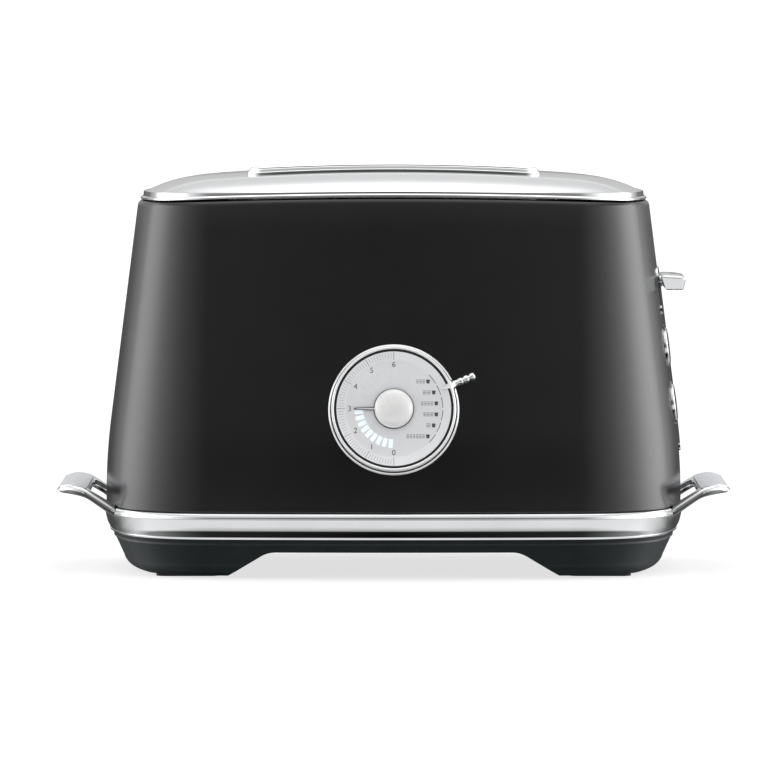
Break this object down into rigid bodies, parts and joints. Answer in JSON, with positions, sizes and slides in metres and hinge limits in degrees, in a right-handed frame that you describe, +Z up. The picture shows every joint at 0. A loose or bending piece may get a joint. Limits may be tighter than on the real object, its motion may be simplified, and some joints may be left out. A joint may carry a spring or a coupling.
{
  "type": "pop up toaster",
  "caption": "Wide-slot pop up toaster: tapered satin black wrap, chrome domed lid, band and carrying loops, round front dial with selector ring, side lever and push buttons.",
  "frame": {"origin": "centre of the footprint, on the surface the feet rest on", "axes": "+Z up, -Y towards the dial on the front, +X towards the lever and buttons"},
  "size_m": [0.3426, 0.2126, 0.2059],
  "materials": {
    "shell_paint": "satin black",
    "bright_chrome": "mirror polish",
    "cast_chrome": "satin over casting grain on top, polished sides",
    "base_plastic": "fine matt texture",
    "black_plastic": "matt",
    "black_rubber": "matt",
    "silver_face": "fine silver satin",
    "pearl_plastic": "pearl",
    "needle_black": "satin",
    "lit_guide": "frosted, lit cool white",
    "plated_steel": "zinc plated",
    "mica_sheet": "flaky satin",
    "nichrome": "heat-dulled",
    "copper_coil": "enamelled winding",
    "circuit_board": "solder mask"
  },
  "bodies": {
    "frame": {"outer_shell": "shell_paint", "top_lid": "bright_chrome", "base_band": "bright_chrome", "rim_gasket": "black_rubber", "base_moulding": "base_plastic", "rubber_feet": "black_rubber", "handle_left": "cast_chrome", "handle_right": "cast_chrome", "dial_flange": "bright_chrome", "dial_housing": "black_plastic", "dial_face": "silver_face", "light_guide": "lit_guide", "dial_board": "circuit_board", "dial_encoder": "black_plastic", "lever_escutcheon": "bright_chrome", "button_bezels": "bright_chrome", "button_board_front": "circuit_board", "button_board_rear": "circuit_board", "chassis_floor": "plated_steel", "chassis_screws": "plated_steel", "end_plate_left": "plated_steel", "end_plate_right": "plated_steel", "heat_shield_front": "plated_steel", "heat_shield_rear": "plated_steel", "mica_board_front_inner": "mica_sheet", "mica_board_front_outer": "mica_sheet", "mica_board_rear_inner": "mica_sheet", "mica_board_rear_outer": "mica_sheet", "heating_ribbons": "nichrome", "guide_rod": "plated_steel", "rod_bracket": "plated_steel", "return_spring": "plated_steel", "magnet_core": "plated_steel", "magnet_coil": "copper_coil", "control_board": "circuit_board", "board_components": "black_plastic", "terminal_block": "black_plastic", "cord_gland": "black_rubber"},
    "carriage": {"carriage": "plated_steel", "keeper_plate": "plated_steel", "bread_rack_front": "plated_steel", "bread_rack_rear": "plated_steel"},
    "lever": {"lever_knob": "bright_chrome", "lever_stem": "plated_steel"},
    "browning_dial": {"browning_knob": "pearl_plastic", "dial_needle": "needle_black", "knob_shaft": "plated_steel"},
    "bread_selector": {"selector_ring": "bright_chrome", "selector_lever": "bright_chrome"},
    "crumb_drawer": {"crumb_tray": "base_plastic"},
    "guide_front_inner": {"bread_guide_front_inner": "plated_steel"},
    "guide_front_outer": {"bread_guide_front_outer": "plated_steel"},
    "guide_rear_inner": {"bread_guide_rear_inner": "plated_steel"},
    "guide_rear_outer": {"bread_guide_rear_outer": "plated_steel"},
    "button_upper_front": {"button_upper_front": "bright_chrome"},
    "button_upper_rear": {"button_upper_rear": "bright_chrome"},
    "button_lower_front": {"button_lower_front": "bright_chrome"},
    "button_lower_rear": {"button_lower_rear": "bright_chrome"}
  },
  "joints": [
    {"name": "carriage_slide", "type": "slide", "parent": "frame", "child": "carriage", "axis": [0, 0, -1], "range_m": [0, 0.08], "stiffness_N_per_m": 75, "springref_m": -0.107, "deforming": ["return_spring"]},
    {"name": "lever_reach", "type": "slide", "parent": "carriage", "child": "lever", "axis": [1, 0, 0], "range_m": [0, 0.0103]},
    {"name": "browning_turn", "type": "hinge", "parent": "frame", "child": "browning_dial", "pos_m": [0, -0.09643, 0.0856], "axis": [0, -0.992, 0.126], "range_deg": [-90, 90]},
    {"name": "bread_select", "type": "hinge", "parent": "frame", "child": "bread_selector", "pos_m": [0, -0.09643, 0.0856], "axis": [0, -0.992, 0.126], "range_deg": [-60, 15]},
    {"name": "crumb_tray_slide", "type": "slide", "parent": "frame", "child": "crumb_drawer", "axis": [0, 1, 0], "range_m": [0, 0.15]},
    {"name": "guide_front_inner_swing", "type": "hinge", "parent": "frame", "child": "guide_front_inner", "pos_m": [0, -0.0135, 0.044], "axis": [1, 0, 0], "range_deg": [0, 4.6]},
    {"name": "guide_front_outer_swing", "type": "hinge", "parent": "frame", "child": "guide_front_outer", "pos_m": [0, -0.0545, 0.044], "axis": [-1, 0, 0], "range_deg": [0, 4.6]},
    {"name": "guide_rear_inner_swing", "type": "hinge", "parent": "frame", "child": "guide_rear_inner", "pos_m": [0, 0.0135, 0.044], "axis": [-1, 0, 0], "range_deg": [0, 4.6]},
    {"name": "guide_rear_outer_swing", "type": "hinge", "parent": "frame", "child": "guide_rear_outer", "pos_m": [0, 0.0545, 0.044], "axis": [1, 0, 0], "range_deg": [0, 4.6]},
    {"name": "button_upper_front_press", "type": "slide", "parent": "frame", "child": "button_upper_front", "axis": [-0.9885, 0.0835, -0.126], "range_m": [0, 0.0016], "stiffness_N_per_m": 800, "springref_m": -0.001},
    {"name": "button_upper_rear_press", "type": "slide", "parent": "frame", "child": "button_upper_rear", "axis": [-0.9885, -0.0835, -0.126], "range_m": [0, 0.0016], "stiffness_N_per_m": 800, "springref_m": -0.001},
    {"name": "button_lower_front_press", "type": "slide", "parent": "frame", "child": "button_lower_front", "axis": [-0.9886, 0.0821, -0.126], "range_m": [0, 0.0016], "stiffness_N_per_m": 800, "springref_m": -0.001},
    {"name": "button_lower_rear_press", "type": "slide", "parent": "frame", "child": "button_lower_rear", "axis": [-0.9886, -0.0821, -0.126], "range_m": [0, 0.0016], "stiffness_N_per_m": 800, "springref_m": -0.001}
  ],
  "couplings": [
    {"joint": "lever_reach", "follows": "carriage_slide", "ratio": 0.127},
    {"joint": "guide_front_inner_swing", "follows": "carriage_slide", "rad_per_m": 0.98},
    {"joint": "guide_front_outer_swing", "follows": "carriage_slide", "rad_per_m": 0.98},
    {"joint": "guide_rear_inner_swing", "follows": "carriage_slide", "rad_per_m": 0.98},
    {"joint": "guide_rear_outer_swing", "follows": "carriage_slide", "rad_per_m": 0.98}
  ]
}
